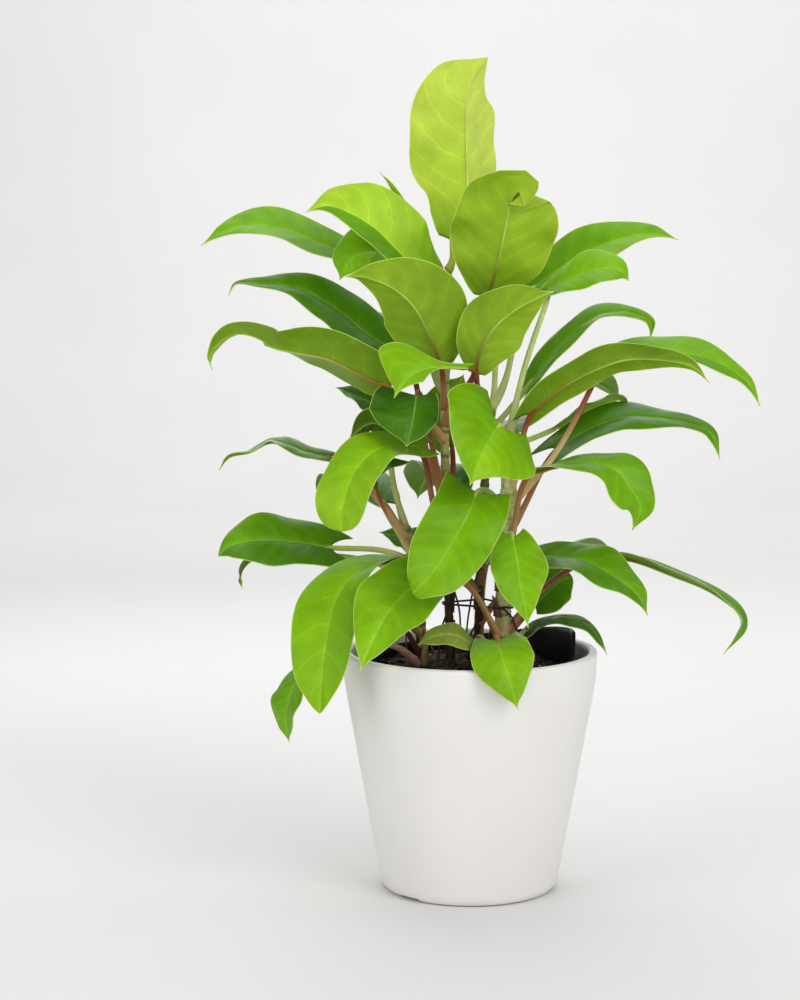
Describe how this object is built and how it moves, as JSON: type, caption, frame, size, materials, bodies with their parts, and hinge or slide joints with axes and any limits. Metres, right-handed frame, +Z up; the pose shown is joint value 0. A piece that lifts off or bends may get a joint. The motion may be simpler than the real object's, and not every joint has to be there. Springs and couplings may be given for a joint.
{
  "type": "potted lemon lime philodendron",
  "caption": "Bushy lemon lime philodendron with arching lime to deep green leaves on climbing stems, in a black nursery pot inside a plain white tapered cover pot.",
  "frame": {"origin": "centre of the cover pot's underside, on the surface that it stands on", "axes": "+Z up along the pot's axis, -Y towards the front, +X to the right seen from the front"},
  "size_m": [0.3951, 0.2312, 0.5834],
  "materials": {
    "cover_pot": "smooth satin white glaze",
    "nursery_pot": "thin black moulded plastic with a soft gloss",
    "potting_mix": "dark damp peat with bark chips and a few pale grains",
    "stem": "brown and olive canes with dark nodes and papery sheaths",
    "leaf_young": "translucent lime yellow with a pale midrib and a soft sheen",
    "leaf_bright": "glossy bright green with a pale midrib and margin",
    "leaf_deep": "glossy deep green with a pale margin and a white sheen",
    "wire": "black coated garden wire"
  },
  "bodies": {
    "root": {"cover_pot": "cover_pot", "nursery_pot": "nursery_pot", "potting_mix": "potting_mix", "stem_left": "stem", "stem_middle": "stem", "stem_back": "stem", "stem_right": "stem", "leaf_01": "leaf_young", "leaf_02": "leaf_young", "leaf_03": "leaf_young", "leaf_04": "leaf_deep", "leaf_05": "leaf_bright", "leaf_06": "leaf_bright", "leaf_07": "leaf_deep", "leaf_08": "leaf_bright", "leaf_09": "leaf_bright", "leaf_10": "leaf_bright", "leaf_11": "leaf_bright", "leaf_12": "leaf_bright", "leaf_13": "leaf_bright", "leaf_14": "leaf_deep", "leaf_15": "leaf_deep", "leaf_16": "leaf_deep", "leaf_17": "leaf_deep", "leaf_18": "leaf_bright", "leaf_19": "leaf_deep", "leaf_20": "leaf_deep", "leaf_21": "leaf_deep", "leaf_22": "leaf_deep", "leaf_23": "leaf_deep", "leaf_24": "leaf_bright", "leaf_25": "leaf_bright", "leaf_26": "leaf_deep", "leaf_27": "leaf_deep", "leaf_28": "leaf_deep", "leaf_29": "leaf_deep", "leaf_30": "leaf_deep", "leaf_31": "leaf_bright", "leaf_32": "leaf_bright", "leaf_33": "leaf_bright", "leaf_34": "leaf_deep", "leaf_35": "leaf_bright", "leaf_36": "leaf_bright", "leaf_37": "leaf_deep", "leaf_38": "leaf_deep", "leaf_39": "leaf_deep", "leaf_40": "leaf_bright", "leaf_41": "leaf_deep", "leaf_42": "leaf_bright", "leaf_43": "leaf_deep", "leaf_44": "leaf_deep", "leaf_45": "leaf_deep", "leaf_46": "leaf_deep", "leaf_47": "leaf_deep", "leaf_48": "leaf_bright", "leaf_49": "leaf_young", "wire_tie_lower": "wire", "wire_tie_upper": "wire"}
  },
  "joints": []
}
